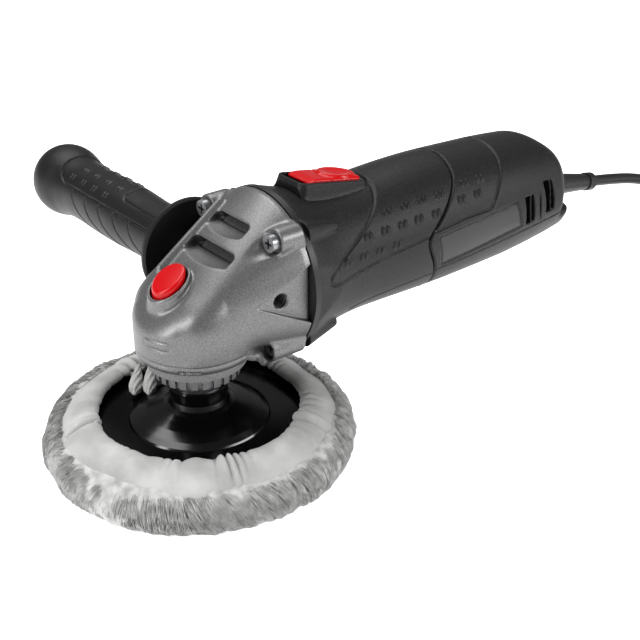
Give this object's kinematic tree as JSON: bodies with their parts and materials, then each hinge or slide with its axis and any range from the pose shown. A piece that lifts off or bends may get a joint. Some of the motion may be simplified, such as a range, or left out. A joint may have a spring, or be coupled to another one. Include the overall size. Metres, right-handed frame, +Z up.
{
  "type": "rotary polisher",
  "caption": "Angle-head rotary polisher with a wool bonnet on a round backing disc, side handle, sliding switch, spindle lock and a coiled mains lead with plug.",
  "frame": {"origin": "centre of the bonnet's work face, on the spindle axis", "axes": "+Z up the spindle away from the work, +X along the motor towards the mains lead, +Y towards the side handle"},
  "size_m": [0.5368, 0.2885, 0.1262],
  "materials": {
    "head_alloy": "silver-grey painted die-cast alloy",
    "cover_alloy": "bare die-cast alloy",
    "screw_steel": "zinc-plated steel",
    "bearing_steel": "ground steel",
    "bronze": "sintered bronze",
    "turned_steel": "turned steel",
    "gear_steel": "hardened steel",
    "red_plastic": "glossy red plastic",
    "inner_plastic": "black moulded plastic",
    "front_plastic": "fine-textured charcoal plastic",
    "rear_plastic": "fine-textured charcoal plastic",
    "label_film": "plain dark film",
    "lamination_steel": "stacked electrical steel",
    "winding_copper": "varnished copper",
    "brass": "pressed brass",
    "carbon": "carbon",
    "capacitor_shell": "film capacitor shell",
    "cord_rubber": "black flexible PVC and rubber",
    "plated_pin": "nickel-plated brass",
    "guard_plastic": "black plastic",
    "grip_rubber": "soft charcoal grip over plastic",
    "disc_plastic": "glossy black moulded disc",
    "foam": "dark foam rubber",
    "wool": "white lambswool pile",
    "suede": "pale hide of the bonnet",
    "string": "white cotton cord"
  },
  "bodies": {
    "tool": {"gear_head": "head_alloy", "bearing_cover": "cover_alloy", "head_screws": "screw_steel", "spindle_bearing_outer": "bearing_steel", "spindle_bush": "bronze", "baffle_plate": "inner_plastic", "motor_housing": "front_plastic", "rear_housing": "rear_plastic", "rear_screws": "screw_steel", "stator_core": "lamination_steel", "field_coils": "winding_copper", "front_bearing_outer": "bearing_steel", "rear_bearing_outer": "bearing_steel", "bearing_cup": "cord_rubber", "motor_bracket": "inner_plastic", "brush_holders": "brass", "switch_bezel": "front_plastic", "switch_module": "inner_plastic", "capacitor": "capacitor_shell", "cord_clamp": "inner_plastic", "clamp_screws": "screw_steel", "strain_relief": "cord_rubber", "power_cord": "cord_rubber", "cord_coil": "cord_rubber", "cord_tail": "cord_rubber", "plug_body": "cord_rubber", "plug_pins": "plated_pin", "handle_stud": "turned_steel", "handle_guard": "guard_plastic", "handle_grip": "grip_rubber", "label_plates": "label_film", "lock_spring": "gear_steel"},
    "spinner": {"spindle": "turned_steel", "spindle_bearing_inner": "bearing_steel", "spindle_clip": "screw_steel", "crown_gear": "gear_steel", "backing_disc": "disc_plastic", "disc_insert": "turned_steel", "foam_pad": "foam", "wool_bonnet": "wool", "bonnet_hem": "suede", "drawstring": "string", "string_ends": "string"},
    "armature": {"armature_shaft": "turned_steel", "armature_core": "lamination_steel", "armature_coils": "winding_copper", "commutator": "winding_copper", "fan": "inner_plastic", "pinion": "gear_steel", "pinion_nut": "screw_steel", "front_bearing_inner": "bearing_steel", "rear_bearing_inner": "bearing_steel"},
    "lock": {"lock_button": "red_plastic", "lock_pin": "turned_steel"},
    "switch": {"switch_slider": "red_plastic", "switch_rod": "inner_plastic"},
    "near_brush": {"brush_near": "carbon"},
    "far_brush": {"brush_far": "carbon"}
  },
  "joints": [
    {"name": "spindle_spin", "type": "hinge", "parent": "tool", "child": "spinner", "pos_m": [0, 0, 0], "axis": [0, 0, 1], "continuous": true},
    {"name": "armature_spin", "type": "hinge", "parent": "tool", "child": "armature", "pos_m": [0, 0, 0.0848], "axis": [1, 0, 0], "continuous": true},
    {"name": "lock_press", "type": "slide", "parent": "tool", "child": "lock", "axis": [0, 0, -1], "range_m": [0, 0.003], "stiffness_N_per_m": 1500, "springref_m": -0.001, "deforming": ["lock_spring"]},
    {"name": "switch_slide", "type": "slide", "parent": "tool", "child": "switch", "axis": [-0.9829, 0, 0.184], "range_m": [0, 0.004]},
    {"name": "near_brush_slide", "type": "slide", "parent": "tool", "child": "near_brush", "axis": [0, -1, 0], "range_m": [0, 0.005], "stiffness_N_per_m": 150, "springref_m": -0.01},
    {"name": "far_brush_slide", "type": "slide", "parent": "tool", "child": "far_brush", "axis": [0, 1, 0], "range_m": [0, 0.005], "stiffness_N_per_m": 150, "springref_m": -0.01}
  ],
  "couplings": [
    {"joint": "armature_spin", "follows": "spindle_spin", "ratio": 3}
  ]
}
